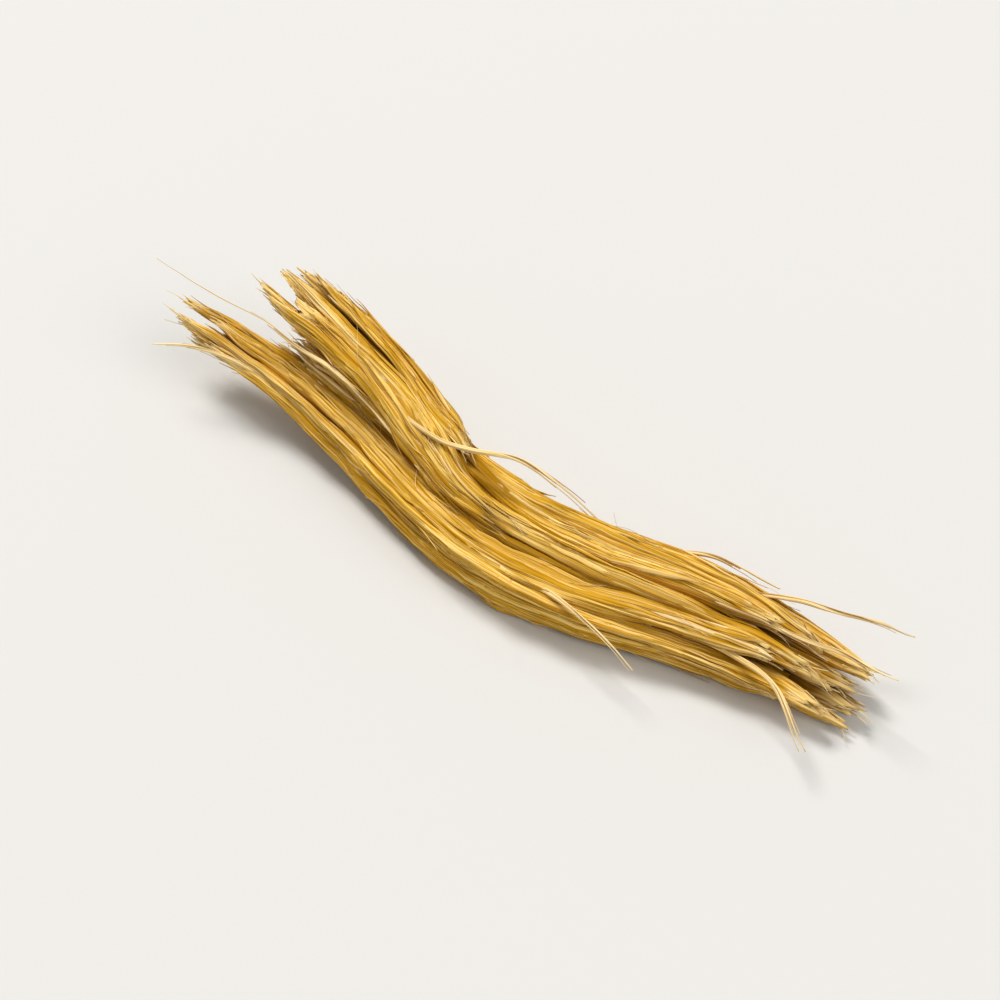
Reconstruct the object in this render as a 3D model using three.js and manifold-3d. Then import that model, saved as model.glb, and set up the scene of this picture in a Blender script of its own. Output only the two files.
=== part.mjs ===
// A strip of dried licorice root, torn from the root along its grain.
//
// The wood of this root is a mass of tough parallel fibres, so a shredded piece is a bundle of
// splinters that hold together in the middle and part at both ends. This strip has three sheaves:
// a band along its near edge, a thicker lobe behind the band, and a tongue that has split off the
// lobe and stands up over it. Loose fibres stand off the bundle. All of it is one piece of wood,
// so it is one closed solid.
//
// Millimetres. X runs along the grain, Y across it and Z up. The strip lies on z = 0, on the parts
// of its underside that are worn flat there, and the origin is the bottom centre of its box.

import * as THREE from "three";
import { mergeVertices } from "three/addons/utils/BufferGeometryUtils.js";
import Module from "manifold-3d";

const wasm = await Module();
wasm.setup();

// The middle of the strip's footprint, in the coordinates of the stations below
const FOOTPRINT_CENTRE = { x: -0.75, y: -0.1 };

// The three sheaves. Each station is the middle of the sheaf's section, then half of the section's
// width and half of its height. A range is the least and the most of a size that differs by
// splinter. starts and ends are shares of the sheaf's length, and tornEnds are those of the
// splinters on its far side where they have snapped off.
const BAND = {
  splinters: 8,
  twist: 0.7,
  standOff: 0.5,
  starts: [0, 0.1],
  ends: [0.88, 1],
  stations: [
    [-22.8, -0.9, 3.7, 0.85, 0.5],
    [-18.5, -0.6, 3.0, 1.3, 0.65],
    [-14.0, -0.6, 2.3, 1.5, 0.85],
    [-9.0, -1.4, 1.6, 1.55, 1.15],
    [-4.0, -2.6, 1.3, 1.5, 1.4],
    [1.0, -3.3, 1.3, 1.55, 1.5],
    [6.0, -2.7, 1.25, 1.5, 1.5],
    [11.0, -1.3, 1.25, 1.4, 1.5],
    [16.0, -0.3, 1.2, 1.25, 1.4],
    [21.0, -0.1, 1.3, 0.95, 0.9],
  ],
};
const LOBE = {
  splinters: 9,
  twist: 0.6,
  standOff: 0.35,
  starts: [0, 0.07],
  ends: [0.86, 1],
  stations: [
    [-16.5, 1.4, 3.3, 1.0, 0.5],
    [-12.5, 1.3, 2.5, 1.35, 0.95],
    [-8.5, 0.9, 1.8, 1.5, 1.35],
    [-4.0, 0.0, 1.6, 1.8, 1.7],
    [1.0, -0.9, 1.7, 2.0, 1.9],
    [6.0, -0.4, 1.65, 2.0, 1.85],
    [11.0, 0.7, 1.5, 1.85, 1.75],
    [16.0, 1.2, 1.3, 1.55, 1.5],
    [21.5, 1.0, 1.4, 1.05, 0.8],
  ],
};
const TONGUE = {
  splinters: 8,
  twist: 0.3,
  standOff: 0.3,
  starts: [0, 0.12],
  ends: [0.95, 0.97],
  tornEnds: [0.66, 0.71],
  stations: [
    [-18.4, 3.0, 6.0, 1.9, 0.45],
    [-13.0, 2.2, 5.2, 2.0, 0.6],
    [-9.0, 1.3, 4.5, 1.9, 0.75],
    [-5.5, 0.1, 3.8, 1.75, 0.85],
    [-2.0, -1.1, 3.1, 1.3, 0.8],
    [2.5, -1.5, 2.6, 0.9, 0.6],
  ],
};

// Loose fibres, as the points that each one follows. It lies on the strip at first and then leaves
// it. The second one arches over a gap and meets the lobe again.
const LOOSE_FIBRES = [
  [[-5.0, -1.5, 3.3], [-8.0, -0.8, 3.95], [-11.0, -0.1, 4.5],
    [-14.3, 0.1, 4.8], [-18.0, 0.1, 5.3], [-24.1, -0.6, 6.4]],
  [[-10.5, 0.7, 5.0], [-7.5, -0.1, 4.7], [-4.5, -0.7, 4.75],
    [-0.8, -0.2, 5.5], [1.8, 0.6, 5.0], [5.6, 1.3, 2.2]],
  [[9.0, 1.7, 2.5], [13.0, 2.2, 2.5], [16.5, 3.0, 3.1], [19.2, 3.9, 3.0], [21.4, 5.0, 2.2]],
  [[10.5, -2.1, 2.3], [14.5, -1.45, 2.2], [17.8, -2.2, 2.6], [20.6, -3.9, 1.6]],
  [[0.5, -4.0, 2.35], [4.0, -3.95, 2.35], [7.8, -4.4, 2.75], [11.4, -5.2, 2.1]],
  [[13.0, 0.8, 2.8], [16.5, 1.1, 2.65], [19.6, 1.2, 3.2], [22.6, 1.0, 3.7]],
  [[3.5, 0.7, 2.75], [7.5, 1.6, 2.4], [11.0, 3.0, 2.7], [14.2, 3.8, 1.8]],
  [[-11.5, -1.8, 2.5], [-15.5, -1.5, 2.95], [-19.6, -2.3, 3.6], [-22.3, -3.4, 3.2]],
];
const FIBRE = { sides: 5, steps: 10, radius: 0.17, tipShare: 0.55 };

// The plain middle of a sheaf. It takes this share of the section, and narrows at its two ends.
const CORE = { sides: 8, steps: 13, from: 0.08, to: 0.92, share: 0.62, tipShare: 0.25, narrowing: 0.3 };

// A splinter lies this far out in the sheaf's section. Its width is a share of its part of the way
// round, and its thickness a share of the section's lesser half size. The corners of its flat
// sides stand out past these by cornerReach, and its section is lumpy. It tapers over its tips,
// stands off the sheaf there, and wanders a little round the sheaf.
const SPLINTER = {
  sides: 6,
  steps: 13,
  out: 0.66,
  offPlace: [0, 0.35],
  width: [0.55, 0.8],
  thickness: [0.34, 0.5],
  cornerReach: 1.12,
  tipLength: [1.2, 3.4],
  tornTipLength: 1.4,
  tipShare: 0.6,
  freeTips: 2.7,
  standOff: [0.4, 1.4],
  wander: 0.12,
  wanderWaves: 1.5,
  flats: 0.16,
  lumps: 0.1,
  lumpDrift: 6,
};

// A splinter counts as one of the far side from this cosine of its place round the sheaf
const FAR_SIDE = 0.2;

// The surface that the strip lies on, as a block with its top at z = 0
const SURFACE = { length: 80, width: 40, depth: 10 };

const FULL_TURN = 2 * Math.PI;
const UP = new THREE.Vector3(0, 0, 1);

// A number from 0 to 1 that differs by splinter and by use, and is the same each time
function varied(number, use) {
  const GOLDEN = 0.6180339887;
  const SILVER = 0.4142135624;
  const value = (number + 1) * GOLDEN + (use + 1) * SILVER;
  return value - Math.floor(value);
}

// A smooth step from 0 to 1
function ease(share) {
  const clamped = Math.min(Math.max(share, 0), 1);
  return clamped * clamped * (3 - 2 * clamped);
}

function smoothCurve(points) {
  const placed = points.map(([x, y, z]) => new THREE.Vector3(x, y, z));
  return new THREE.CatmullRomCurve3(placed, false, "catmullrom", 0.5);
}

// The middle of a sheaf, its directions and its half sizes, at a share of its length
function sheafSection(sheaf, share) {
  const along = sheaf.spine.getTangent(share);
  const side = UP.clone().cross(along).normalize();
  const size = sheaf.sizes.getPoint(share);
  return {
    middle: sheaf.spine.getPoint(share),
    side,
    up: along.clone().cross(side),
    halfWidth: size.x,
    halfHeight: size.y,
  };
}

// A point of a section, from its angle round the sheaf and how far out it is
function onSection(section, angle, out) {
  return section.middle
    .clone()
    .addScaledVector(section.side, Math.cos(angle) * out * section.halfWidth)
    .addScaledVector(section.up, Math.sin(angle) * out * section.halfHeight);
}

function solidOf(geometry) {
  geometry.deleteAttribute("normal");
  geometry.deleteAttribute("uv");
  const merged = mergeVertices(geometry);
  return new wasm.Manifold(
    new wasm.Mesh({
      numProp: 3,
      vertProperties: new Float32Array(merged.getAttribute("position").array),
      triVerts: new Uint32Array(merged.index.array),
    }),
  );
}

// A closed rod: a capped cylinder whose points are moved to where placePoint puts them, from the
// ring's share of the length and the point's angle and distance from the axis
function rod({ sides, steps }, placePoint) {
  const geometry = new THREE.CylinderGeometry(1, 1, 1, sides, steps);
  const position = geometry.getAttribute("position");
  const point = new THREE.Vector3();
  for (let i = 0; i < position.count; i++) {
    point.fromBufferAttribute(position, i);
    const angle = Math.atan2(point.x, point.z);
    const placed = placePoint(point.y + 0.5, angle, Math.hypot(point.x, point.z));
    position.setXYZ(i, placed.x, placed.y, placed.z);
  }
  return solidOf(geometry);
}

function core(sheaf) {
  return rod(CORE, (share, angle, out) => {
    const section = sheafSection(sheaf, CORE.from + (CORE.to - CORE.from) * share);
    const fullness = ease(Math.min(share, 1 - share) / CORE.narrowing);
    const taper = CORE.tipShare + (1 - CORE.tipShare) * fullness;
    return onSection(section, angle, out * CORE.share * taper);
  });
}

// One splinter on the outside of a sheaf, which winds slowly round it and leaves it at its ends.
// number tells it from all others, and place is its place round its own sheaf.
function splinter(sheaf, number, place) {
  const pick = (use, [least, most]) => least + (most - least) * varied(number, use);
  const turn = (FULL_TURN * (place + pick(0, SPLINTER.offPlace))) / sheaf.splinters;
  const torn = sheaf.tornEnds !== undefined && Math.cos(turn) > FAR_SIDE;
  const start = pick(1, sheaf.starts);
  const end = pick(2, torn ? sheaf.tornEnds : sheaf.ends);
  const tip = pick(3, SPLINTER.tipLength);
  const endTip = torn ? SPLINTER.tornTipLength : tip;
  const standOff = sheaf.standOff * pick(4, SPLINTER.standOff);
  const wanderPhase = pick(5, [0, FULL_TURN]);
  const width = pick(6, SPLINTER.width) / sheaf.splinters;
  const thickness = pick(7, SPLINTER.thickness);
  const flatPhase = pick(8, [0, FULL_TURN]);
  const length = sheaf.spine.getLength() * (end - start);

  return rod(SPLINTER, (share, angle, out) => {
    const section = sheafSection(sheaf, start + (end - start) * share);
    const fromStart = share * length;
    const fromEnd = (1 - share) * length;
    const free = Math.max(1 - Math.min(fromStart, fromEnd) / (SPLINTER.freeTips * tip), 0);
    const wander = SPLINTER.wander * Math.sin(FULL_TURN * SPLINTER.wanderWaves * share + wanderPhase);
    const ring = turn + sheaf.twist * (share - 0.5);
    const fullness = Math.min(ease(fromStart / tip), ease(fromEnd / endTip));
    const taper = SPLINTER.tipShare + (1 - SPLINTER.tipShare) * fullness;
    const girth = Math.PI * (section.halfWidth + section.halfHeight) * SPLINTER.out;
    const halfWide = girth * width * taper;
    const halfThick = Math.min(section.halfWidth, section.halfHeight) * thickness * taper;
    const flats = SPLINTER.flats * Math.cos(2 * angle + flatPhase);
    const lumps = SPLINTER.lumps * Math.cos(3 * angle + SPLINTER.lumpDrift * share);
    const reach = out * (SPLINTER.cornerReach + flats + lumps);
    const outward = Math.cos(angle) * reach * halfThick;
    const round = Math.sin(angle) * reach * halfWide;
    return onSection(section, ring + wander, SPLINTER.out * (1 + standOff * free * free))
      .addScaledVector(section.side, Math.cos(ring) * outward - Math.sin(ring) * round)
      .addScaledVector(section.up, Math.sin(ring) * outward + Math.cos(ring) * round);
  });
}

function looseFibre(points) {
  const path = smoothCurve(points);
  return rod(FIBRE, (share, angle, out) => {
    const along = path.getTangent(share);
    const side = UP.clone().cross(along).normalize();
    const up = along.clone().cross(side);
    const radius = FIBRE.radius * (1 - (1 - FIBRE.tipShare) * share) * out;
    return path
      .getPoint(share)
      .addScaledVector(side, Math.cos(angle) * radius)
      .addScaledVector(up, Math.sin(angle) * radius);
  });
}

function restingSurface() {
  const geometry = new THREE.BoxGeometry(SURFACE.length, SURFACE.width, SURFACE.depth);
  geometry.translate(0, 0, -SURFACE.depth / 2);
  return solidOf(geometry);
}

function rootStrip() {
  const pieces = [];
  let number = 0;
  for (const sheaf of [BAND, LOBE, TONGUE]) {
    sheaf.spine = smoothCurve(sheaf.stations);
    sheaf.sizes = smoothCurve(sheaf.stations.map(([, , , width, height]) => [width, height, 0]));
    pieces.push(core(sheaf));
    for (let place = 0; place < sheaf.splinters; place++) {
      pieces.push(splinter(sheaf, number, place));
      number += 1;
    }
  }
  pieces.push(...LOOSE_FIBRES.map(looseFibre));
  const fused = pieces.reduce((whole, piece) => whole.add(piece)).subtract(restingSurface());
  // The largest shell is the outside of the strip. What is left are sealed gaps between splinters.
  const skin = fused
    .decompose()
    .reduce((largest, shell) => (shell.volume() > largest.volume() ? shell : largest));
  const { vertProperties, triVerts } = skin.getMesh();
  const geometry = new THREE.BufferGeometry();
  geometry.setAttribute("position", new THREE.BufferAttribute(new Float32Array(vertProperties), 3));
  geometry.setIndex(new THREE.BufferAttribute(new Uint32Array(triVerts), 1));
  geometry.translate(-FOOTPRINT_CENTRE.x, -FOOTPRINT_CENTRE.y, 0);
  geometry.computeVertexNormals();
  const wood = new THREE.MeshStandardMaterial({ color: 0xc4944a, roughness: 0.85, metalness: 0 });
  const mesh = new THREE.Mesh(geometry, wood);
  mesh.name = "root_strip";
  return mesh;
}

const licoriceRoot = new THREE.Group();
licoriceRoot.add(rootStrip());

export default licoriceRoot;
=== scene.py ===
# A strip of dried licorice root: golden wood torn along its grain, seen close up on a pale floor

import math

import bpy
import numpy as np
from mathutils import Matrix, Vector


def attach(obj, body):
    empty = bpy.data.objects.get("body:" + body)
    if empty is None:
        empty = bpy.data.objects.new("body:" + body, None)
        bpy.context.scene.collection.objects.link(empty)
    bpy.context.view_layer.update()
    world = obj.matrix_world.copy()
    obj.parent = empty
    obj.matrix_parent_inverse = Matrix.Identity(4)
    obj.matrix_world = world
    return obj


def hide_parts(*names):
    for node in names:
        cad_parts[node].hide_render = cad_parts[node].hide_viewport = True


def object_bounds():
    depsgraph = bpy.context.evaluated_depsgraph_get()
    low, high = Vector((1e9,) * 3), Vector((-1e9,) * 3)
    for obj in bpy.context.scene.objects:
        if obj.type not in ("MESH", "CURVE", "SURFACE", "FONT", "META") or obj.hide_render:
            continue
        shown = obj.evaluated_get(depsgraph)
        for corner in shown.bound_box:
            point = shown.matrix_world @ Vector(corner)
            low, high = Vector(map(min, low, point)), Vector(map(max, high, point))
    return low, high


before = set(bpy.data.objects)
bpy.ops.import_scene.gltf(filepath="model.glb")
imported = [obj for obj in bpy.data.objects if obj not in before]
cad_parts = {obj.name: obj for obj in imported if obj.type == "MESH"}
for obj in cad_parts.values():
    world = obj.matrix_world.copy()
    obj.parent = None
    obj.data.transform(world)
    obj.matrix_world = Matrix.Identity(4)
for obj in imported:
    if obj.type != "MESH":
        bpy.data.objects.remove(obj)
cad_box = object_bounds()


# The torn splinters
# The root's wood is a mass of tough parallel fibres. Shredding tears it along the grain, so the
# strip is a bundle of long splinters in three sheaves, which are one wood in their middle and part
# at both ends. Lengths here are in millimetres, with X along the grain and Z up.

MM = 0.001
FULL_TURN = 2 * math.pi
TRACK_STEPS = 201
CLEFT_REACH = 0.45


def varied(number, use):
    """A number from 0 to 1 that differs by splinter and by use, and is the same each time."""
    golden = 0.6180339887
    silver = 0.4142135624
    return ((number + 1) * golden + (use + 1) * silver) % 1


def ease(share):
    """A smooth step from 0 to 1."""
    clamped = np.clip(share, 0, 1)
    return clamped * clamped * (3 - 2 * clamped)


def unit(vectors):
    """The same directions, each of length 1."""
    return vectors / np.maximum(np.linalg.norm(vectors, axis=-1, keepdims=True), 1e-9)


def curve_through(points):
    """A smooth curve through the points, as a function of the share of the way along it."""
    points = np.array(points, float)
    before_first = 2 * points[0] - points[1]
    after_last = 2 * points[-1] - points[-2]
    knots = np.vstack([before_first, points, after_last])

    def at(share):
        place = np.clip(share, 0, 1) * (len(points) - 1)
        step = np.minimum(place.astype(int), len(points) - 2)
        t = (place - step)[..., None]
        before, here, there, after = (knots[step + i] for i in range(4))
        bend = 2 * before - 5 * here + 4 * there - after
        swing = 3 * here - before - 3 * there + after
        return 0.5 * (2 * here + (there - before) * t + bend * t**2 + swing * t**3)

    return at


class Sheaf:
    """Splinters round one middle line. Each station is the middle of the section there, then half
    of its width and half of its height. A higher tone is a browner gold."""

    def __init__(self, splinters, twist, stand_off, starts, ends, tones, stations, torn_ends=None):
        self.splinters = splinters
        self.twist = twist
        self.stand_off = stand_off
        self.starts = starts
        self.ends = ends
        self.torn_ends = torn_ends
        self.tones = tones
        self.middle = curve_through([station[:3] for station in stations])
        self.half_sizes = curve_through([station[3:] for station in stations])
        shares = np.linspace(0, 1, TRACK_STEPS)
        self.track = np.hstack([self.middle(shares), self.half_sizes(shares)])
        self.length = np.linalg.norm(np.diff(self.track[:, :3], axis=0), axis=1).sum()

    def section(self, share):
        """The middle, the sideways and upward directions, and the half sizes at each share. Past
        its ends the sheaf goes straight on."""
        step = 0.0001
        within = np.clip(share, step, 1 - step)
        along = unit(self.middle(within + step) - self.middle(within - step))
        side = unit(np.cross((0, 0, 1), along))
        middle = self.middle(within) + along * ((share - within) * self.length)[..., None]
        return middle, side, np.cross(along, side), self.half_sizes(within)

    def on_section(self, share, angle, out):
        """A point of the section, from its angle round the sheaf and how far out it is."""
        middle, side, up, size = self.section(share)
        across = np.cos(angle) * out * size[..., 0]
        above = np.sin(angle) * out * size[..., 1]
        return middle + side * across[..., None] + up * above[..., None]

    def nearness(self, points):
        """How close points come to this sheaf, from 0 at some distance to 1 at its skin."""
        x, y, z = np.moveaxis(points, -1, 0)
        track_x, *rows = self.track.T
        middle_y, middle_z, half_wide, half_high = (np.interp(x, track_x, row) for row in rows)
        out = np.hypot((y - middle_y) / half_wide, (z - middle_z) / half_high)
        past_end = np.abs(x - np.clip(x, track_x[0], track_x[-1]))
        return 1 - ease((out + past_end - 1) / CLEFT_REACH)


BAND = Sheaf(
    splinters=8,
    twist=0.7,
    stand_off=0.5,
    starts=(0, 0.1),
    ends=(0.88, 1),
    tones=(0.4, 1.0),
    stations=[
        (-22.8, -0.9, 3.7, 0.85, 0.5),
        (-18.5, -0.6, 3.0, 1.3, 0.65),
        (-14.0, -0.6, 2.3, 1.5, 0.85),
        (-9.0, -1.4, 1.6, 1.55, 1.15),
        (-4.0, -2.6, 1.3, 1.5, 1.4),
        (1.0, -3.3, 1.3, 1.55, 1.5),
        (6.0, -2.7, 1.25, 1.5, 1.5),
        (11.0, -1.3, 1.25, 1.4, 1.5),
        (16.0, -0.3, 1.2, 1.25, 1.4),
        (21.0, -0.1, 1.3, 0.95, 0.9),
    ],
)
LOBE = Sheaf(
    splinters=9,
    twist=0.6,
    stand_off=0.35,
    starts=(0, 0.07),
    ends=(0.86, 1),
    tones=(0.3, 1.0),
    stations=[
        (-16.5, 1.4, 3.3, 1.0, 0.5),
        (-12.5, 1.3, 2.5, 1.35, 0.95),
        (-8.5, 0.9, 1.8, 1.5, 1.35),
        (-4.0, 0.0, 1.6, 1.8, 1.7),
        (1.0, -0.9, 1.7, 2.0, 1.9),
        (6.0, -0.4, 1.65, 2.0, 1.85),
        (11.0, 0.7, 1.5, 1.85, 1.75),
        (16.0, 1.2, 1.3, 1.55, 1.5),
        (21.5, 1.0, 1.4, 1.05, 0.8),
    ],
)
TONGUE = Sheaf(
    splinters=8,
    twist=0.3,
    stand_off=0.3,
    starts=(0, 0.12),
    ends=(0.95, 0.97),
    torn_ends=(0.66, 0.71),
    tones=(0.0, 0.15),
    stations=[
        (-18.4, 3.0, 6.0, 1.9, 0.45),
        (-13.0, 2.2, 5.2, 2.0, 0.6),
        (-9.0, 1.3, 4.5, 1.9, 0.75),
        (-5.5, 0.1, 3.8, 1.75, 0.85),
        (-2.0, -1.1, 3.1, 1.3, 0.8),
        (2.5, -1.5, 2.6, 0.9, 0.6),
    ],
)
SHEAVES = {"band": BAND, "lobe": LOBE, "tongue": TONGUE}


def cleft(points, sheaf):
    """How deep points of one sheaf lie in the cleft between it and another, which is painted as shade."""
    return np.max([other.nearness(points) for other in SHEAVES.values() if other is not sheaf], 0)


# Where a splinter lies in its sheaf, and how it leaves it at its ends
SPLINTER_OUT = 0.66
OFF_PLACE = (0, 0.35)
WANDER = 0.12
WANDER_WAVES = 1.5
STAND_OFF = (0.4, 1.4)
FREE_TIPS = 2.7
FAR_SIDE = 0.2

# Its section, with the flat faces where the wood split
WIDTH = (0.55, 0.8)
THICKNESS = (0.34, 0.5)
TIP_LENGTH = (1.2, 3.4)
TORN_TIP_LENGTH = 1.4
TIP_SHARE = 0.6
FLATS = 0.16
LUMPS = 0.1
LUMP_DRIFT = 6
SPLIT_FACES = 5
FACE_SPREAD = 0.45
FACE_TURN = 0.25
FACE_TURN_LENGTH = 8
FACE_EDGES = 16
GAP_FROM = 0.4
GAP_SPREAD = 0.9

# The ribs and slits of its skin, and the teeth at its torn ends
RIBS = (6, 12)
RIB_DEPTH = (0.13, 0.24)
RIB_LEVEL = 0.9
RIB_FLATNESS = 0.42
RIB_LEAN = (0.35, 0.2)
RIB_LEAN_LENGTH = (9, 13)
RIB_SWAY = 0.5
RIB_SWAY_LENGTH = 7
FINE_RIB_DEPTH = 0.07
FINE_RIB_LEVEL = 0.8
FINE_SLITS = 1.7
SLIT_OPENING = (0.6, 0.4)
SLIT_SPACING = (1.7, 2.9)
TOOTH_LENGTH = 2.0
TOOTH_ROOTS = 3.5
TOOTH_BY_RIB = 0.7
TOOTH_BY_CREST = 0.3
TOOTH_LEVEL = 0.7


class Splinter:
    """One splinter on the outside of a sheaf, which winds slowly round it and leaves it at its
    ends. Its skin has flat faces where the wood split, and ribs along the grain, where its fibre
    strands lie side by side."""

    def __init__(self, sheaf, number, place):
        def pick(use, limits):
            return limits[0] + (limits[1] - limits[0]) * varied(number, use)

        self.sheaf = sheaf
        self.number = number
        self.turn = FULL_TURN * (place + pick(0, OFF_PLACE)) / sheaf.splinters
        self.torn = sheaf.torn_ends is not None and math.cos(self.turn) > FAR_SIDE
        self.start = pick(1, sheaf.starts)
        self.end = pick(2, sheaf.torn_ends if self.torn else sheaf.ends)
        self.tip = pick(3, TIP_LENGTH)
        self.end_tip = TORN_TIP_LENGTH if self.torn else self.tip
        self.stand_off = sheaf.stand_off * pick(4, STAND_OFF)
        self.wander_phase = pick(5, (0, FULL_TURN))
        self.width = pick(6, WIDTH) / sheaf.splinters
        self.thickness = pick(7, THICKNESS)
        self.flat_phase = pick(8, (0, FULL_TURN))
        self.length = sheaf.length * (self.end - self.start)
        self.ribs = round(pick(9, RIBS))
        self.fine_ribs = 2 * self.ribs + 3
        self.rib_depth = pick(10, RIB_DEPTH)
        self.tone = pick(11, sheaf.tones)

    def faces(self, angle, along):
        """How far out the skin is for the flat faces, which turn a little along the grain."""
        numbers = np.arange(SPLIT_FACES)
        spread = FACE_SPREAD * varied(self.number, 20 + numbers)
        facing = FULL_TURN * (numbers + spread) / SPLIT_FACES + self.flat_phase
        turned = angle + FACE_TURN * np.sin(along / FACE_TURN_LENGTH + self.wander_phase)
        towards = np.maximum(np.cos(turned[..., None] - facing), 0)
        return np.sum(towards**FACE_EDGES, -1) ** (-1 / FACE_EDGES)

    def crests(self, angle, along, ribs, phase):
        """How high the ribs stand, from 0 in a narrow groove to 1 on a flat crest, and each rib's
        number. Along the grain a groove opens into a slit and closes again."""
        lean = RIB_LEAN[0] * np.sin(angle + phase + along / RIB_LEAN_LENGTH[0])
        lean = lean + RIB_LEAN[1] * np.sin(2 * angle - phase - along / RIB_LEAN_LENGTH[1])
        sway = RIB_SWAY * np.sin(along / RIB_SWAY_LENGTH + phase)
        turned = ribs * (angle + lean) / 2 + phase + sway
        groove = np.round(turned / math.pi) % ribs
        long_slits, short_slits = (np.sin(along / spacing + groove * spacing) for spacing in SLIT_SPACING)
        opened = SLIT_OPENING[0] + SLIT_OPENING[1] * long_slits * short_slits
        height = 1 - opened * (1 - np.abs(np.sin(turned)) ** RIB_FLATNESS)
        return height, np.floor(turned / math.pi) % ribs

    def skin(self, share, angle, ribbed=True):
        """Points of the splinter, how far each lies in a groove, and how far in a gap between
        splinters or in a cleft to another sheaf, from their share of the length and their angle round
        the splinter's middle. The wood's colour darkens both of these as painted shade."""
        share, angle = np.broadcast_arrays(share, angle)
        from_start = share * self.length
        from_end = self.length - from_start
        nearest = np.minimum(from_start, from_end)
        coarse, rib = self.crests(angle, from_start, self.ribs, self.wander_phase)
        fine = self.crests(angle, from_start * FINE_SLITS, self.fine_ribs, self.flat_phase)[0]

        # The splinter's path: its tip is free of the sheaf, and torn in teeth
        free = np.maximum(1 - nearest / (FREE_TIPS * self.tip), 0)
        tooth = TOOTH_BY_RIB * varied(self.number + rib, 30) + TOOTH_BY_CREST * coarse - TOOTH_LEVEL
        jag = ribbed * TOOTH_LENGTH * tooth * np.maximum(1 - nearest / TOOTH_ROOTS, 0)
        shifted = share + np.where(share < 0.5, -1, 1) * jag / self.length
        place = self.start + (self.end - self.start) * shifted
        _, side, up, size = self.sheaf.section(place)
        wander = WANDER * np.sin(FULL_TURN * WANDER_WAVES * share + self.wander_phase)
        ring = self.turn + self.sheaf.twist * (share - 0.5)
        path = self.sheaf.on_section(place, ring + wander, SPLINTER_OUT * (1 + self.stand_off * free**2))

        # Its skin, from its own size and taper
        fullness = np.minimum(ease(from_start / self.tip), ease(from_end / self.end_tip))
        taper = TIP_SHARE + (1 - TIP_SHARE) * fullness
        girth = math.pi * size.sum(-1) * SPLINTER_OUT
        half_wide = girth * self.width * taper
        half_thick = size.min(-1) * self.thickness * taper
        depth = self.rib_depth * (1 + free)
        relief = depth * (coarse - RIB_LEVEL) + FINE_RIB_DEPTH * (fine - FINE_RIB_LEVEL)
        flats = FLATS * np.cos(2 * angle + self.flat_phase)
        lumps = LUMPS * np.cos(3 * angle + LUMP_DRIFT * share)
        reach = self.faces(angle, from_start) + flats + lumps + ribbed * relief
        outward = np.cos(angle) * reach * half_thick
        around = np.sin(angle) * reach * half_wide
        points = path + side * (np.cos(ring) * outward - np.sin(ring) * around)[..., None]
        points = points + up * (np.sin(ring) * outward + np.cos(ring) * around)[..., None]
        # The splinter's inner side, where it meets its neighbours, is marked for painted shade away from
        # its free tip, and so is the cleft to another sheaf
        gap = ease((GAP_FROM - np.cos(angle)) / GAP_SPREAD) * (1 - ease(free))
        return points, (1 - coarse) ** 2, np.maximum(gap, cleft(points, self.sheaf))


# The small kinks of the fibres, with the limits of their rates along, across and up
KINKS = 12
KINK_RATES = ((0.8, 4.2), (-2.2, 2.2), (-2.2, 2.2))
KINK_SLOPE = 0.026
KINK_PATCHES = 0.31

kink_draw = np.random.default_rng(7)
kink_rates = np.array([[kink_draw.uniform(*limits) for limits in KINK_RATES] for _ in range(KINKS)])
kink_phases = kink_draw.uniform(0, FULL_TURN, KINKS)
kink_ways = kink_draw.normal(0, KINK_SLOPE, (KINKS, 3)) / kink_rates[:, :1]


def kinked(points):
    """How far the wood's small kinks move each point. Fibres that lie side by side share them, and
    they come and go along the strip."""
    turned = points @ kink_rates.T
    return (np.sin(turned + kink_phases) * np.sin(KINK_PATCHES * turned - kink_phases)) @ kink_ways


# The middle of the strip's footprint, which is the part's origin, and the cells of the map that
# colours are baked on: a rod's usual girth, and how much of its cell it fills along and across
FOOTPRINT_CENTRE = np.array([-0.75, -0.1, 0.0])
ROD_GIRTH = 2
CELL_FILL = (0.96, 0.94)


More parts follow.
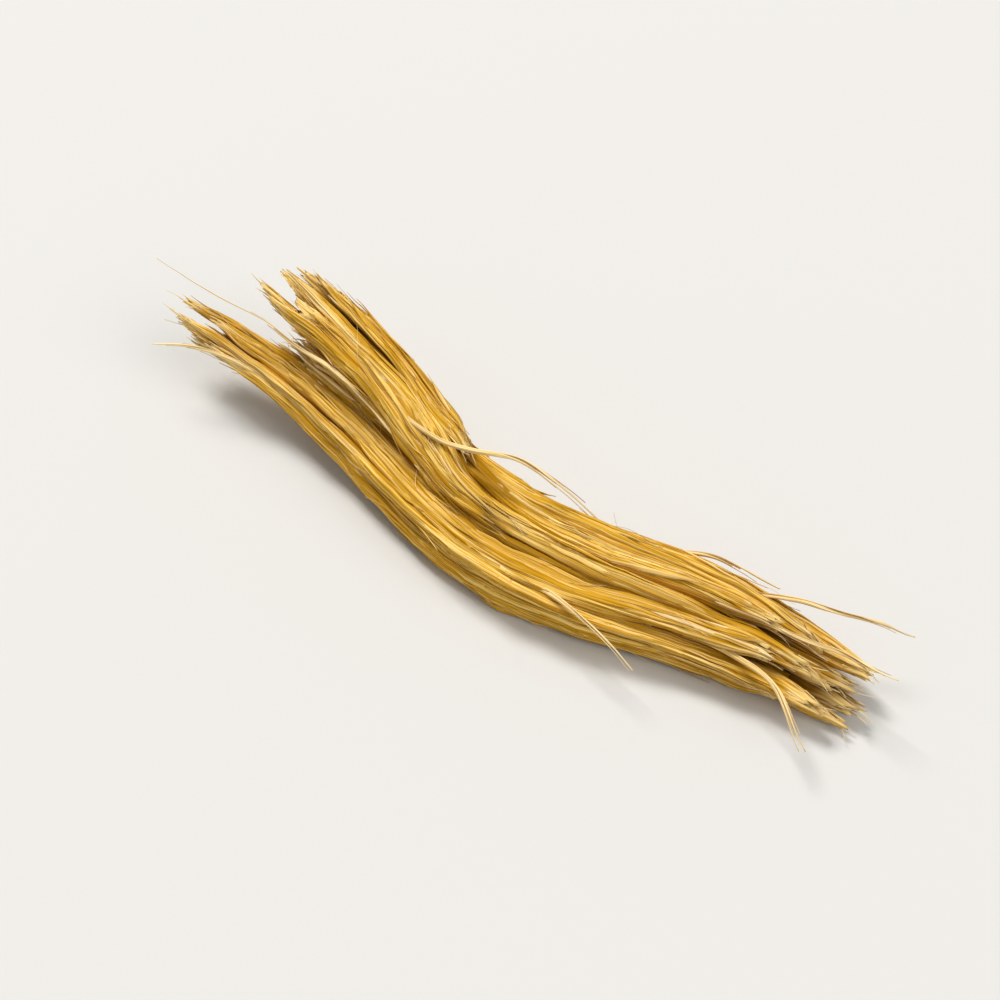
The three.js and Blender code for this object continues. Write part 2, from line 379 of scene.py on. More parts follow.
class Bundle:
    """Closed rods of wood that make up one mesh. A rod is a grid of points: rings along its
    length, with the same number of places round each ring."""

    def __init__(self, kinks=1.0):
        self.kinks = kinks
        self.rods = []

    def add(self, points, straight, tone, groove, frayed):
        """straight is where each point would be in a straight rod, which the grain pattern follows.
        groove is how much painted shade a point gets, in grooves, gaps and clefts, along strand edges and
        on a sheaf's core, and frayed how near it lies to a torn end or how pale it is."""
        points = points + self.kinks * kinked(points) - FOOTPRINT_CENTRE
        points[..., 2] = np.maximum(points[..., 2], 0)
        shape = points.shape[:2]
        looks = [np.broadcast_to(value, shape) for value in (tone, groove, frayed)]
        self.rods.append((points * MM, straight, np.stack(looks, -1)))

    def capped(self, grid):
        """The grid's values as rows, with the mean of its first and last ring after them."""
        flat = grid.reshape(-1, grid.shape[-1])
        return np.vstack([flat, grid[0].mean(0), grid[-1].mean(0)])

    def cells(self):
        """A place in a square for each rod, in columns, so that no two overlap: its left and
        bottom sides, its width and its height."""
        aspect = np.mean([np.ptp(straight[..., 0]) for _, straight, _ in self.rods]) / ROD_GIRTH
        columns = max(1, round(math.sqrt(len(self.rods) / aspect)))
        rows = math.ceil(len(self.rods) / columns)
        for i in range(len(self.rods)):
            corner = (i % columns) / columns, (i // columns) / rows
            yield *corner, CELL_FILL[0] / columns, CELL_FILL[1] / rows

    def faces(self, rings, places):
        """The corners of a rod's faces: four each along its sides, then three each at its ends."""
        ring, place = np.meshgrid(np.arange(rings - 1), np.arange(places), indexing="ij")
        beyond = (place + 1) % places
        here, there = ring * places, (ring + 1) * places
        sides = np.stack([here + place, here + beyond, there + beyond, there + place], -1).reshape(-1, 4)
        corner = np.arange(places)
        after = (corner + 1) % places
        last = (rings - 1) * places
        start_cap = np.stack([np.full(places, rings * places), after, corner], -1)
        end_cap = np.stack([np.full(places, rings * places + 1), last + corner, last + after], -1)
        return sides, start_cap, end_cap

    def unrolled(self, rings, places, left, bottom, width, height):
        """Where those corners lie in the rod's cell, with the rod unrolled."""
        u = left + width * (np.arange(rings + 2) / (rings + 1))
        v = bottom + height * (np.arange(places + 1) / places)
        ring, place = np.meshgrid(np.arange(rings - 1), np.arange(places), indexing="ij")
        middle = (v[:-1] + v[1:]) / 2
        u_sides = np.stack([u[ring + 1], u[ring + 1], u[ring + 2], u[ring + 2]], -1)
        v_sides = np.stack([v[place], v[place + 1], v[place + 1], v[place]], -1)
        v_start = np.stack([middle, v[1:], v[:-1]], -1)
        u_start = np.broadcast_to(u[[0, 1, 1]], v_start.shape)
        v_end = np.stack([middle, v[:-1], v[1:]], -1)
        u_end = np.broadcast_to(u[[-1, -2, -2]], v_end.shape)
        blocks = ((u_sides, v_sides), (u_start, v_start), (u_end, v_end))
        return np.vstack([np.stack(block, -1).reshape(-1, 2) for block in blocks])

    def build(self, name, material):
        """Joins the rods in one mesh, with their looks and their map, and adds it to the strip."""
        corners = []
        sizes = []
        map_places = []
        first = 0
        for (points, _, _), cell in zip(self.rods, self.cells()):
            rings, places = points.shape[:2]
            for block in self.faces(rings, places):
                corners.append((block + first).ravel())
                sizes.append(np.full(len(block), block.shape[1]))
            map_places.append(self.unrolled(rings, places, *cell))
            first += rings * places + 2
        corners = np.concatenate(corners)
        sizes = np.concatenate(sizes)
        capped = [[self.capped(grid) for grid in rod] for rod in self.rods]
        vertices, straight, looks = (np.vstack(grids) for grids in zip(*capped))

        mesh = bpy.data.meshes.new(name)
        mesh.vertices.add(len(vertices))
        mesh.vertices.foreach_set("co", vertices.ravel())
        mesh.loops.add(len(corners))
        mesh.loops.foreach_set("vertex_index", corners)
        mesh.polygons.add(len(sizes))
        mesh.polygons.foreach_set("loop_start", np.concatenate([[0], np.cumsum(sizes)[:-1]]))
        mesh.polygons.foreach_set("use_smooth", np.ones(len(sizes), bool))
        mesh.update(calc_edges=True)
        unbent = mesh.attributes.new("straight", "FLOAT_VECTOR", "POINT")
        unbent.data.foreach_set("vector", straight.ravel())
        for i, look in enumerate(("tone", "groove", "frayed")):
            mesh.attributes.new(look, "FLOAT", "POINT").data.foreach_set("value", looks[:, i].copy())
        bake_map = mesh.uv_layers.new(name="OFBake")
        bake_map.uv.foreach_set("vector", np.vstack(map_places).ravel())
        mesh.validate()
        mesh.materials.append(material)
        piece = bpy.data.objects.new(name, mesh)
        bpy.context.scene.collection.objects.link(piece)
        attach(piece, "root")
        return piece


class Signal:
    """A value in a material. Arithmetic on it adds the Math nodes that work it out."""

    def __init__(self, tree, socket=None):
        self.tree = tree
        self.socket = socket

    def node(self, kind, settings, inputs, output=0):
        """Adds a node, sets it up, fills its inputs and returns one of its outputs."""
        made = self.tree.nodes.new("ShaderNode" + kind)
        for name, value in settings.items():
            setattr(made, name, value)
        for name, value in inputs.items():
            if isinstance(value, Signal):
                self.tree.links.new(value.socket, made.inputs[name])
            else:
                made.inputs[name].default_value = value
        return Signal(self.tree, made.outputs[output])

    def maths(self, operation, first, second):
        """Adds the Math node of this operation on two values."""
        return self.node("Math", {"operation": operation}, {0: first, 1: second})

    def __add__(self, other):
        return self.maths("ADD", self, other)

    def __radd__(self, other):
        return self.maths("ADD", other, self)

    def __sub__(self, other):
        return self.maths("SUBTRACT", self, other)

    def __rsub__(self, other):
        return self.maths("SUBTRACT", other, self)

    def __mul__(self, other):
        return self.maths("MULTIPLY", self, other)

    def __rmul__(self, other):
        return self.maths("MULTIPLY", other, self)

    def over(self, low, high):
        """Rises smoothly from 0 at low to 1 at high."""
        limits = {"Value": self, "From Min": low, "From Max": high}
        return self.node("MapRange", {"interpolation_type": "SMOOTHSTEP"}, limits)

    def tint(self, plain, tinted):
        """The plain colour where this is 0 and the tinted one where it is 1."""
        return self.node("Mix", {"data_type": "RGBA"}, {0: self, 6: plain, 7: tinted}, 2)


def root_wood(name, gold, pale, cream):
    """Dry fibrous wood, with streaks and pale threads along its grain, and painted shade in ochre and
    brown where the groove attribute marks grooves and gaps. It is matt, and its threads stand a little
    proud."""
    ochre = (0.55, 0.275, 0.006, 1)
    brown = (0.17, 0.067, 0.001, 1)
    material = bpy.data.materials.new(name)
    material.use_nodes = True
    tree = material.node_tree
    shader = tree.nodes["Principled BSDF"]
    start = Signal(tree)
    straight = start.node("Attribute", {"attribute_name": "straight"}, {}, "Vector")
    tone = start.node("Attribute", {"attribute_name": "tone"}, {}, "Fac")
    groove = start.node("Attribute", {"attribute_name": "groove"}, {}, "Fac")
    frayed = start.node("Attribute", {"attribute_name": "frayed"}, {}, "Fac")

    def streaks(along, across, detail):
        """Noise drawn out along the grain, from its scales per millimetre and its detail."""
        stretch = {0: straight, 1: (along, across, across)}
        place = start.node("VectorMath", {"operation": "MULTIPLY"}, stretch)
        return start.node("TexNoise", {}, {"Vector": place, "Scale": 1.0, "Detail": detail}, "Fac")

    patches = streaks(0.16, 0.6, 2.0)
    strands = streaks(0.06, 3.0, 2.0)
    threads = streaks(0.12, 7.0, 2.0)
    hairlines = streaks(0.3, 15.0, 1.0)

    # The ground is gold, and ochre where the wood is darker
    darkness = 0.8 * tone + 0.9 * patches - 0.4
    colour = darkness.over(0.05, 0.9).tint(gold, ochre)

    # Over that lie layers of colour: where each is seen, how strongly, and its colour
    layers = (
        (strands.over(0.51, 0.61), 0.6, pale),
        (threads.over(0.53, 0.64), 0.6, pale),
        (hairlines.over(0.54, 0.66), 0.65, cream),
        (strands.over(0.48, 0.36), 0.75, ochre),
        (threads.over(0.46, 0.36), 0.55, brown),
        (hairlines.over(0.47, 0.36), 0.55, brown),
        # Painted shade: ochre, then brown, where the groove attribute marks grooves, gaps, clefts and
        # strand edges
        (groove.over(0.02, 0.4), 0.55, ochre),
        (groove.over(0.2, 0.9), 0.7, brown),
        (frayed.over(0.2, 1.0), 0.5, cream),
    )
    for mask, strength, layer in layers:
        colour = (mask * strength).tint(colour, layer)
    tree.links.new(colour.socket, shader.inputs["Base Color"])

    roughness = 0.78 + 0.2 * strands
    tree.links.new(roughness.socket, shader.inputs["Roughness"])
    height = 0.45 * strands + 0.35 * threads + 0.2 * hairlines
    relief = start.node("Bump", {}, {"Strength": 0.9, "Distance": 0.13 * MM, "Height": height}, "Normal")
    tree.links.new(relief.socket, shader.inputs["Normal"])
    shader.inputs["Specular IOR Level"].default_value = 0.03
    return material


GOLD = (0.79, 0.435, 0.045, 1)
PALE = (0.91, 0.615, 0.17, 1)
CREAM = (0.94, 0.735, 0.33, 1)
splinter_wood = root_wood("splinter_wood", GOLD, PALE, CREAM)

# The plain core inside each sheaf, of browner wood that painted shade darkens further, which shows only
# as a dark ground in the gaps
CORE_FROM = 0.08
CORE_TO = 0.92
CORE_SHARE = 0.62
CORE_TIP_SHARE = 0.25
CORE_NARROWING = 0.3
CORE_TONE = 0.8
CORE_PAINTED_SHADE = 0.8
CORE_PLACES = 20
CORE_RINGS = 50

# The splinters' mesh, the place of their grain, the painted shade in their gaps, and their pale torn ends
SPLINTER_PLACES = 84
SPLINTER_RINGS = 100
GRAIN_RADIUS = 0.55
GRAIN_SPACING = 7
GAP_PAINTED_SHADE = 0.85
FRAYED_END = 2.5

share = np.linspace(0, 1, SPLINTER_RINGS)[:, None]
angle = (np.arange(SPLINTER_PLACES) * FULL_TURN / SPLINTER_PLACES)[None, :]
core_share = np.linspace(0, 1, CORE_RINGS)[:, None]
core_angle = (np.arange(CORE_PLACES) * FULL_TURN / CORE_PLACES)[None, :]
narrowing = ease(np.minimum(core_share, 1 - core_share) / CORE_NARROWING)
core_out = CORE_SHARE * (CORE_TIP_SHARE + (1 - CORE_TIP_SHARE) * narrowing)
core_place, core_turn = np.broadcast_arrays(CORE_FROM + (CORE_TO - CORE_FROM) * core_share, core_angle)
splinters = []
for name, sheaf in SHEAVES.items():
    bundle = Bundle()
    straight = np.stack([sheaf.length * core_place, np.cos(core_turn), np.sin(core_turn)], -1)
    bundle.add(sheaf.on_section(core_place, core_turn, core_out), straight, CORE_TONE, CORE_PAINTED_SHADE, 0)
    for i in range(sheaf.splinters):
        splinter = Splinter(sheaf, len(splinters), i)
        splinters.append(splinter)
        points, groove, gap = splinter.skin(share, angle)
        along = share * splinter.length
        near_end = np.minimum(share, 1 - share) * splinter.length
        across = GRAIN_RADIUS * np.cos(angle)
        over = GRAIN_RADIUS * np.sin(angle) + GRAIN_SPACING * i
        straight = np.stack(np.broadcast_arrays(along, across, over), -1)
        # Painted shade: deepest in the rib grooves, and a little less in the gaps and clefts between
        # splinters and sheaves
        shaded = np.maximum(groove, GAP_PAINTED_SHADE * gap)
        bundle.add(points, straight, splinter.tone, shaded, 1 - ease(near_end / FRAYED_END))
    piece = bundle.build(name + "_splinters", splinter_wood)
    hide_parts("root_strip")


# The fibre strands
# The skin of a torn splinter is made of flat strands of fibre that stick to it side by side. They
# come off it at their ends, where the shredding pulled at them.

STRANDS_PER_SPLINTER = 36
STRAND_LENGTH = (5, 32)
LONGEST_STRAND = 0.95
PAST_SPLINTER = 0.3
STRAND_SPREAD = 0.85
STRAND_HALF_WIDTH = (0.05, 0.36)
MOSTLY_NARROW = 2.3
STRAND_HALF_THICKNESS = (0.03, 0.07)
STRAND_SUNK = 0.3
STRAND_ROLL = 0.22
STRAND_SWAY = (0, 0.12)
SWAY_LENGTH = (0.8, 3)
POINT_SHARE = 0.1
SWELL = 0.2
SWELL_LENGTH = (0.5, 2)
PEEL_LENGTH = (2, 6)
STRAND_PLACES = 6
SHORTEST_RINGS = 9
RINGS_PER_MM = 1.2
BESIDE = 0.05
BOX_SLACK = 0.12
OWN_GRAIN = (0, 900)

# The painted shade along a strand's edges and underside, how its tone differs from its splinter's, and
# its pale wood
EDGE_SHADE = (0.55, 0.35)
EDGE_SHADE_LENGTH = (0.5, 1.6)
EDGE_NARROWNESS = 5
GAP_SHADE_ON_STRAND = 0.7
TONE_SPREAD = 0.28
DARK_STRANDS = 0.1
PALENESS = (0.4, 1)
WIDE_IS_LESS_PALE = 1.7
FRAYED_STRAND_END = 1.2

# Thin fibres that cross the strands, and long pale ones along the rims of two splinters in front, whose
# numbers come with the angle of the rim round the splinter. Their paleness is partly pale wood and partly
# a painted highlight along the rims.
CROSSING_FIBRES = 3
CROSSING_LENGTH = (4, 11)
CROSSING_SPREAD = 0.6
CROSSING_HALF_WIDTH = (0.03, 0.07)
RIMS = {2: -0.35, 4: 0.25}
RIM_STRANDS = 5
RIM_LENGTH = (12, 28)
RIM_INSET = 2
RIM_SPREAD = 0.2
RIM_HALF_WIDTH = (0.08, 0.16)

# How each kind lies: the millimetres over which its ends taper, how far it turns round the
# splinter, what share of its ends stand off the skin and how high, and what share of it is pale
LAID = {"point": (1, 6), "drift": 0.5, "peeled": 0.15, "peel_height": (0.1, 0.4), "pale": 0.2}
CROSSING = {"point": (1, 6), "drift": 1.8, "peeled": 0.6, "peel_height": (0.1, 0.5), "pale": 0.2}
# Every rim fibre is pale: pale wood, and a painted highlight along the rim
ALONG_RIM = {"point": (1, 6), "drift": 0.15, "peeled": 0.1, "peel_height": (0.1, 0.3), "pale": 1}

STRAND_GOLD = (0.83, 0.48, 0.055, 1)
STRAND_PALE = (0.93, 0.655, 0.19, 1)
strand_wood = root_wood("strand_wood", STRAND_GOLD, STRAND_PALE, CREAM)
draw = np.random.default_rng(11)


def tube(line, outward, half_wide, half_thick, places):
    """Rings of an oval rod along a line of points. outward is where its flatter side faces."""
    along = unit(np.gradient(line, axis=0))
    outward = unit(outward - along * (outward * along).sum(-1, keepdims=True))
    side = np.cross(along, outward)
    angle = np.arange(places) * FULL_TURN / places
    across = np.sin(angle)[None, :, None] * (side * half_wide[:, None])[:, None, :]
    through = np.cos(angle)[None, :, None] * (outward * half_thick[:, None])[:, None, :]
    return line[:, None, :] + across + through


def straightened(length, rings, places, half_wide):
    """Where the points of a rod would be if it were straight, with a grain of its own."""
    angle = np.arange(places) * FULL_TURN / places
    along = np.linspace(0, length, rings)[:, None]
    across = np.sin(angle)[None, :] * half_wide + draw.uniform(*OWN_GRAIN)
    return np.stack(np.broadcast_arrays(along, across, np.cos(angle)[None, :] * half_wide), -1)


def drawn_width(limits):
    """Half of the width of a strand. Most strands are narrow, and a few are broad plates."""
    return limits[0] + (limits[1] - limits[0]) * draw.random() ** MOSTLY_NARROW


def in_box(points):
    """Whether a fibre stays within the box of the strip."""
    low, high = (np.array(corner) / MM for corner in cad_box)
    placed = points - FOOTPRINT_CENTRE
    return (placed > low - BOX_SLACK).all() and (placed < high + BOX_SLACK).all()


def strand(splinter, bundle, begin, length, angle, half_wide, point, drift, peeled, peel_height, pale):
    """A flat strand that lies on a splinter's skin, from begin millimetres along it, and may stand
    off it at either end."""
    rings = int(SHORTEST_RINGS + RINGS_PER_MM * length)
    along = np.linspace(0, length, rings)
    share = (begin + along) / splinter.length
    sway = draw.uniform(*STRAND_SWAY) * np.sin(along / draw.uniform(*SWAY_LENGTH))
    angle = angle + draw.uniform(-drift, drift) * along / length + sway
    on_skin, _, gap = splinter.skin(share, angle, ribbed=False)
    beside = splinter.skin(share, angle + BESIDE, ribbed=False)[0]
    forward = unit(np.gradient(on_skin, axis=0))
    outward = unit(np.cross(beside - on_skin, forward))
    rolled = outward + draw.normal(0, STRAND_ROLL) * np.cross(forward, outward)
    half_thick = draw.uniform(*STRAND_HALF_THICKNESS)
    lift = np.full(rings, -STRAND_SUNK * half_thick)
    for from_end in (along, length - along):
        if draw.random() < peeled:
            height = draw.uniform(*peel_height)
            lift += height * np.maximum(1 - from_end / draw.uniform(*PEEL_LENGTH), 0) ** 2
    nearest = np.minimum(along, length - along)
    taper = POINT_SHARE + (1 - POINT_SHARE) * ease(nearest / draw.uniform(*point))
    taper *= 1 + SWELL * np.sin(along / draw.uniform(*SWELL_LENGTH) + draw.uniform(0, FULL_TURN))
    line = on_skin + outward * lift[:, None]
    points = tube(line, rolled, half_wide * taper, half_thick * np.sqrt(taper), STRAND_PLACES)

    # Painted shade along the strand's sides and underside, where it meets the skin, waxing and waning
    # along it, and over the gaps it lies in
    around = np.arange(STRAND_PLACES) * FULL_TURN / STRAND_PLACES
    waves = np.sin(along / draw.uniform(*EDGE_SHADE_LENGTH) + draw.uniform(0, FULL_TURN))
    at_edge = np.maximum(np.abs(np.sin(around)) ** EDGE_NARROWNESS, -np.cos(around))
    edge = (EDGE_SHADE[0] + EDGE_SHADE[1] * waves)[:, None] * at_edge
    shaded = np.maximum(edge, GAP_SHADE_ON_STRAND * gap[:, None])
    tone = np.clip(splinter.tone + TONE_SPREAD * draw.normal(), 0, 1)
    kind = draw.random()
    if kind > 1 - DARK_STRANDS:
        tone = 1
    paleness = draw.uniform(*PALENESS) * (1 - WIDE_IS_LESS_PALE * half_wide) if kind < pale else 0
    frayed = np.maximum(1 - ease(nearest / FRAYED_STRAND_END), paleness)
    straight = straightened(length, rings, STRAND_PLACES, half_wide)
    if in_box(points):
        bundle.add(points, straight, tone, shaded, frayed[:, None])


for name, sheaf in SHEAVES.items():
    bundle = Bundle()
    for splinter in splinters:
        if splinter.sheaf is sheaf:
            for _ in range(STRANDS_PER_SPLINTER):
                length = min(draw.uniform(*STRAND_LENGTH), LONGEST_STRAND * splinter.length)
                begin = draw.uniform(-PAST_SPLINTER, splinter.length - length + PAST_SPLINTER)
                angle = draw.normal(0, STRAND_SPREAD)
                half_wide = drawn_width(STRAND_HALF_WIDTH)
                strand(splinter, bundle, begin, length, angle, half_wide, **LAID)
            for _ in range(CROSSING_FIBRES):
                length = draw.uniform(*CROSSING_LENGTH)
                begin = draw.uniform(0, splinter.length - length)
                angle = draw.normal(0, CROSSING_SPREAD)
                half_wide = draw.uniform(*CROSSING_HALF_WIDTH)
                strand(splinter, bundle, begin, length, angle, half_wide, **CROSSING)
            for _ in range(RIM_STRANDS if splinter.number in RIMS else 0):
                length = draw.uniform(*RIM_LENGTH)
                begin = draw.uniform(RIM_INSET, splinter.length - length - RIM_INSET)
                angle = draw.normal(RIMS[splinter.number], RIM_SPREAD)
                half_wide = draw.uniform(*RIM_HALF_WIDTH)
                strand(splinter, bundle, begin, length, angle, half_wide, **ALONG_RIM)
    bundle.build(name + "_strands", strand_wood)


# The frayed tips
# Where the splinters tore off, their ends are flat slivers and pale fibres of unequal length, which
# run on from the wood behind them and spread a little.

SLIVERS_PER_TIP = 9
SLIVER_LENGTH = (3, 9)
SLIVER_HALF_WIDTH = (0.05, 0.19)
PAST_THE_TIP = (-1.5, 0.8)
AT_TIP = {"point": (0.2, 2), "drift": 0.4, "peeled": 0.3, "peel_height": (0.05, 0.3), "pale": 0.2}

HAIRS_PER_TIP = 4
HAIR_LENGTH = (0.4, 1.5)
HAIR_RADIUS = (0.02, 0.055)
HAIR_FLATNESS = 0.7
HAIR_THINNING = 0.6
HAIR_FROM_TIP = (0, 1.2)
HAIR_IN_WOOD = 0.3
HAIR_AIMED_OVER = 0.8
HAIR_SPREAD = 0.12
HAIR_BEND = 0.18
HAIR_RINGS = 10
HAIR_PLACES = 6
HAIR_GRAIN = 0.06
HAIR_TONE = 0.2
HAIR_PALENESS = (0.3, 0.7)

FIBRE_GOLD = (0.85, 0.57, 0.15, 1)
FIBRE_PALE = (0.92, 0.7, 0.3, 1)
FIBRE_CREAM = (0.95, 0.8, 0.52, 1)
fibre_wood = root_wood("fibre_wood", FIBRE_GOLD, FIBRE_PALE, FIBRE_CREAM)

tips = Bundle()
for splinter in splinters:
    for end, inwards in ((0.0, 1), (1.0, -1)):
        for _ in range(SLIVERS_PER_TIP):
            length = draw.uniform(*SLIVER_LENGTH)
            past = draw.uniform(*PAST_THE_TIP)
            begin = splinter.length + past - length if end else -past
            angle = draw.uniform(0, FULL_TURN)
            half_wide = drawn_width(SLIVER_HALF_WIDTH)
            strand(splinter, tips, begin, length, angle, half_wide, **AT_TIP)
        for _ in range(HAIRS_PER_TIP):
            from_tip = draw.uniform(*HAIR_FROM_TIP) + np.array([0.0, HAIR_AIMED_OVER])
            share = end + inwards * from_tip / splinter.length
            angle = np.full(2, draw.uniform(0, FULL_TURN))
            root, further = splinter.skin(share, angle, ribbed=False)[0]
            way = unit(unit(root - further) + draw.normal(0, HAIR_SPREAD, 3))
            length = draw.uniform(*HAIR_LENGTH)
            t = np.linspace(0, 1, HAIR_RINGS)[:, None]
            bend = draw.normal(0, HAIR_BEND, 3) * length * t**2
            line = root - way * HAIR_IN_WOOD + way * (length + HAIR_IN_WOOD) * t + bend
            radius = draw.uniform(*HAIR_RADIUS) * (1 - HAIR_THINNING * t[:, 0] ** 2)
            facing = np.broadcast_to(unit(draw.normal(0, 1, 3)), line.shape)
            straight = straightened(length, HAIR_RINGS, HAIR_PLACES, HAIR_GRAIN)
            points = tube(line, facing, radius, HAIR_FLATNESS * radius, HAIR_PLACES)
            if in_box(line):
                tips.add(points, straight, HAIR_TONE, 0, HAIR_PALENESS[0] + HAIR_PALENESS[1] * t)
tips.build("frayed_tips", fibre_wood)


# The loose fibres
# Long fibres that have sprung out of the strip and stand clear of it, still joined to it at their
# roots: one past its left end, one that arches over the lobe, and six shorter ones at its sides and
# ends. Each is a few flat threads that hold together and come apart at the tip.

LOOSE_FIBRES = [
    [
        (-5, -1.5, 3.3), (-8, -0.8, 3.95), (-11, -0.1, 4.5),
        (-14.3, 0.1, 4.8), (-18, 0.1, 5.3), (-24.1, -0.6, 6.4),
    ],
    [
        (-10.5, 0.7, 5), (-7.5, -0.1, 4.7), (-4.5, -0.7, 4.75),
        (-0.8, -0.2, 5.5), (1.8, 0.6, 5), (5.6, 1.3, 2.2),
    ],
    [(9.0, 1.7, 2.5), (13.0, 2.2, 2.5), (16.5, 3.0, 3.1), (19.2, 3.9, 3.0), (21.4, 5.0, 2.2)],
    [(10.5, -2.1, 2.3), (14.5, -1.45, 2.2), (17.8, -2.2, 2.6), (20.6, -3.9, 1.6)],
    [(0.5, -4.0, 2.35), (4.0, -3.95, 2.35), (7.8, -4.4, 2.75), (11.4, -5.2, 2.1)],
    [(13.0, 0.8, 2.8), (16.5, 1.1, 2.65), (19.6, 1.2, 3.2), (22.6, 1.0, 3.7)],
    [(3.5, 0.7, 2.75), (7.5, 1.6, 2.4), (11.0, 3.0, 2.7), (14.2, 3.8, 1.8)],
    [(-11.5, -1.8, 2.5), (-15.5, -1.5, 2.95), (-19.6, -2.3, 3.6), (-22.3, -3.4, 3.2)],
]
FIBRE_KINKS = 0.4
FIBRE_FLATNESS = 0.4
FIBRE_WAVE = 0.05
FIBRE_WAVE_RATES = np.array([0.9, 1.3, 1.1])

# The threads of a fibre, and how they part and thin towards its tip
THREADS_PER_FIBRE = 5
THREAD_HALF_WIDTH = (0.07, 0.13)
THREAD_HALF_THICKNESS = (0.03, 0.06)
THREAD_OFFSET = 0.08
THREAD_ENDS = (0.72, 1.0)
THREAD_ROOT = 0.2
THREAD_ROOT_SHARE = 0.1
THREAD_TWIST = 1.6
THREAD_WEAVE = 0.4
THREAD_WEAVE_RATE = 9
THREAD_SWELL = 0.15
THREAD_SWELL_RATE = 1.9
PARTED_FROM = 0.6
PARTING = 2.4
PARTING_VARIES = (0.3, 1.6)
THINNED_FROM = 0.6
THINNING = 0.7
THREAD_RINGS = 70
THREAD_PLACES = 8
THREAD_GRAIN = 0.1
THREAD_TONE = 0.1
THREAD_TONE_SPREAD = 0.25
THREAD_PALENESS = (0.6, 0.4)

fibres = Bundle(kinks=FIBRE_KINKS)
for points in LOOSE_FIBRES:
    path = curve_through(points)
    whole = path(np.linspace(0, 1, THREAD_RINGS))
    length = np.linalg.norm(np.diff(whole, axis=0), axis=1).sum()
    wave = draw.uniform(0, FULL_TURN, 3)
    for i in range(THREADS_PER_FIBRE):
        share = np.linspace(0, draw.uniform(*THREAD_ENDS) if i else 1.0, THREAD_RINGS)
        rooted = ease(share / THREAD_ROOT)
        parted = 1 + PARTING * np.maximum(share - PARTED_FROM, 0) * draw.uniform(*PARTING_VARIES)
        weave = THREAD_WEAVE * np.sin(THREAD_WEAVE_RATE * share + i)
        turn = FULL_TURN * i / THREADS_PER_FIBRE + THREAD_TWIST * share + weave
        round_path = np.stack([0 * share, np.cos(turn), FIBRE_FLATNESS * np.sin(turn)], -1)
        kinks = FIBRE_WAVE * np.sin(share[:, None] * length * FIBRE_WAVE_RATES + wave)
        line = path(share) + kinks + THREAD_OFFSET * (rooted * parted**2)[:, None] * round_path
        thinned = THINNING * ease((share / share[-1] - THINNED_FROM) / (1 - THINNED_FROM))
        taper = (THREAD_ROOT_SHARE + (1 - THREAD_ROOT_SHARE) * rooted) * (1 - thinned)
        swell = 1 + THREAD_SWELL * np.sin(share * length * THREAD_SWELL_RATE + i)
        half_wide = draw.uniform(*THREAD_HALF_WIDTH) * taper * swell
        half_thick = draw.uniform(*THREAD_HALF_THICKNESS) * taper
        thread = tube(line, round_path, half_wide, half_thick, THREAD_PLACES)
        straight = straightened(length, THREAD_RINGS, THREAD_PLACES, THREAD_GRAIN)
        frayed = THREAD_PALENESS[0] + THREAD_PALENESS[1] * ease(share * 2 - 1)[:, None]
        tone = np.clip(THREAD_TONE + THREAD_TONE_SPREAD * draw.normal(), 0, 1)
        fibres.add(thread, straight, tone, 0, frayed)
fibres.build("loose_fibres", fibre_wood)


# The fuzz
# Hair-fine fibres that the shredding pulled half out of the wood. The splinters still hold them all
# along the strip, and most of them lie nearly flat.

FUZZ_PER_SPLINTER = 5
FUZZ_FROM = (0.03, 0.95)
FUZZ_SPREAD = 1.0
FUZZ_AIMED_OVER = 0.5
FUZZ_LENGTH = (0.8, 3.5)
FUZZ_RADIUS = (0.012, 0.028)
FUZZ_THINNING = 0.5
FUZZ_RISE = (0.03, 0.18)
FUZZ_FALLS_FROM = 1.3
FUZZ_BEND = 0.3
FUZZ_CURL = 0.08
FUZZ_CURL_RATE = (2, 6)
FUZZ_RINGS = 12
FUZZ_PLACES = 4
FUZZ_GRAIN = 0.03
FUZZ_TONE = 0.1
FUZZ_PALENESS = 0.5

fuzz = Bundle()
for splinter in splinters:
    for _ in range(FUZZ_PER_SPLINTER):
        share = np.array([0.0, FUZZ_AIMED_OVER / splinter.length]) + draw.uniform(*FUZZ_FROM)
        angle = np.full(2, draw.normal(0, FUZZ_SPREAD))
        root, further = splinter.skin(share, angle, ribbed=False)[0]
        beside = splinter.skin(share, angle + BESIDE, ribbed=False)[0][0]
        along = unit(further - root) * draw.choice([-1, 1])
        outward = unit(np.cross(beside - root, further - root))
        side = np.cross(along, outward)
        length = draw.uniform(*FUZZ_LENGTH)
        t = np.linspace(0, 1, FUZZ_RINGS)[:, None]
        rise = outward * draw.uniform(*FUZZ_RISE) * t * (FUZZ_FALLS_FROM - t)
        bend = draw.normal(0, FUZZ_BEND) * t**2
        curl = draw.normal(0, FUZZ_CURL) * np.sin(t * draw.uniform(*FUZZ_CURL_RATE)) * t
        line = root + length * (along * t + rise + side * (bend + curl))
        radius = draw.uniform(*FUZZ_RADIUS) * (1 - FUZZ_THINNING * t[:, 0])
        facing = np.broadcast_to(outward, line.shape)
        points = tube(line, facing, radius, radius, FUZZ_PLACES)
        straight = straightened(length, FUZZ_RINGS, FUZZ_PLACES, FUZZ_GRAIN)
        if in_box(line):
            fuzz.add(points, straight, FUZZ_TONE, 0, FUZZ_PALENESS)
fuzz.build("fuzz", fibre_wood)


# The floor, the lights and the camera
# A plain pale sheet that sweeps up all round, a soft light above and behind the strip to the left,
# and a weaker and larger one from the right. The camera looks down at the strip from as steep an
# angle as the photograph does. Lengths here are in metres.

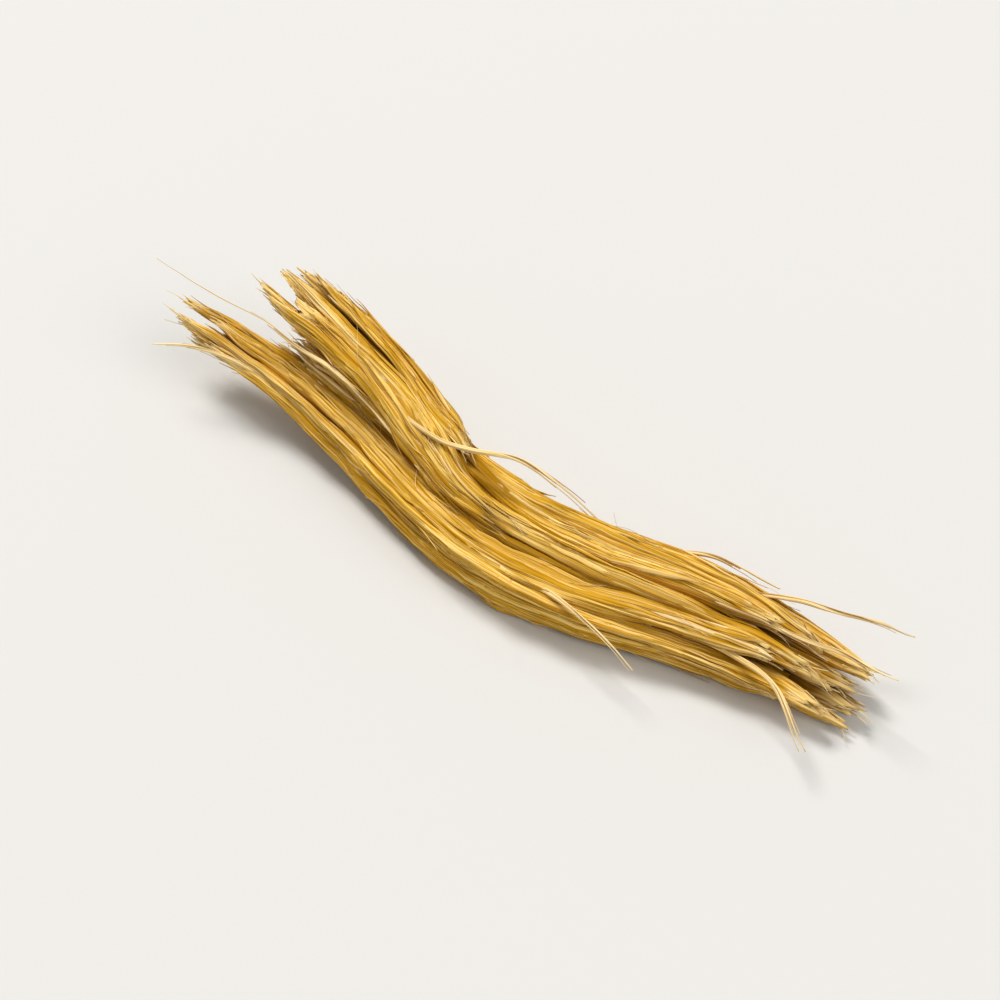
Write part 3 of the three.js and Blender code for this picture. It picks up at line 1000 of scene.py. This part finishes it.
AZIMUTH = math.radians(37.4)
ELEVATION = math.radians(48)
FOCAL_LENGTH = 85
CAMERA_DISTANCE = 0.124
AIM_HEIGHT = 0.002
NEAREST_SEEN = 0.01
FLOOR_RADIUS = 0.16
SWEEP_DEPTH = 0.45
SWEEP_HEIGHT = 0.14
FLOOR_SIDES = 96
SWEEP_STEPS = 24
PAPER = (0.6, 0.595, 0.58, 1)
PAPER_ROUGHNESS = 0.9
LIGHT_DISTANCE = 3.0
ROOM_LIGHT = 0.42

floor_mesh = bpy.data.meshes.new("floor")
rise = np.linspace(0, 1, SWEEP_STEPS)
turn = np.arange(FLOOR_SIDES) * FULL_TURN / FLOOR_SIDES
floor_corners = [
    (radius * math.cos(a), radius * math.sin(a), height)
    for radius, height in zip(FLOOR_RADIUS + SWEEP_DEPTH * rise, SWEEP_HEIGHT * rise**2)
    for a in turn
]
floor_faces = [tuple(range(FLOOR_SIDES))]
for ring in range(SWEEP_STEPS - 1):
    for i in range(FLOOR_SIDES):
        here = ring * FLOOR_SIDES
        beyond = (i + 1) % FLOOR_SIDES
        floor_faces.append((here + i, here + FLOOR_SIDES + i, here + FLOOR_SIDES + beyond, here + beyond))
floor_mesh.from_pydata(floor_corners, [], floor_faces)
floor_mesh.polygons.foreach_set("use_smooth", np.ones(len(floor_faces), bool))
floor = bpy.data.objects.new("floor", floor_mesh)
bpy.context.scene.collection.objects.link(floor)
paper = bpy.data.materials.new("paper")
paper.use_nodes = True
sheet = paper.node_tree.nodes["Principled BSDF"]
sheet.inputs["Base Color"].default_value = PAPER
sheet.inputs["Roughness"].default_value = PAPER_ROUGHNESS
floor_mesh.materials.append(paper)

to_right = Vector((math.cos(AZIMUTH), math.sin(AZIMUTH), 0))
to_back = Vector((-math.sin(AZIMUTH), math.cos(AZIMUTH), 0))
to_top = Vector((0, 0, 1))


def soft_light(name, direction, size, watts, colour):
    """A square soft box that faces the strip."""
    lamp = bpy.data.lights.new(name, "AREA")
    lamp.size = size
    lamp.energy = watts
    lamp.color = colour
    light = bpy.data.objects.new(name, lamp)
    light.location = direction.normalized() * LIGHT_DISTANCE
    light.rotation_euler = (-direction).to_track_quat("-Z", "Y").to_euler()
    bpy.context.scene.collection.objects.link(light)


from_window = -0.45 * to_right + 0.7 * to_back + to_top
from_fill = 0.8 * to_right - 0.5 * to_back + 0.7 * to_top
soft_light("window", from_window, size=0.97, watts=92, colour=(1.0, 0.98, 0.95))
soft_light("fill", from_fill, size=2.1, watts=42, colour=(1.0, 0.97, 0.93))

world = bpy.data.worlds.new("studio")
world.use_nodes = True
background = world.node_tree.nodes["Background"]
background.inputs["Color"].default_value = (1, 1, 1, 1)
background.inputs["Strength"].default_value = ROOM_LIGHT
bpy.context.scene.world = world
bpy.context.scene.view_settings.view_transform = "Standard"

aim = Vector((0, 0, AIM_HEIGHT))
back = math.cos(ELEVATION) * -to_back + math.sin(ELEVATION) * to_top
lens = bpy.data.cameras.new("camera")
lens.lens = FOCAL_LENGTH
lens.clip_start = NEAREST_SEEN
camera = bpy.data.objects.new("camera", lens)
camera.location = aim + back * CAMERA_DISTANCE
camera.rotation_euler = back.to_track_quat("Z", "Y").to_euler()
bpy.context.scene.collection.objects.link(camera)
bpy.context.scene.camera = camera
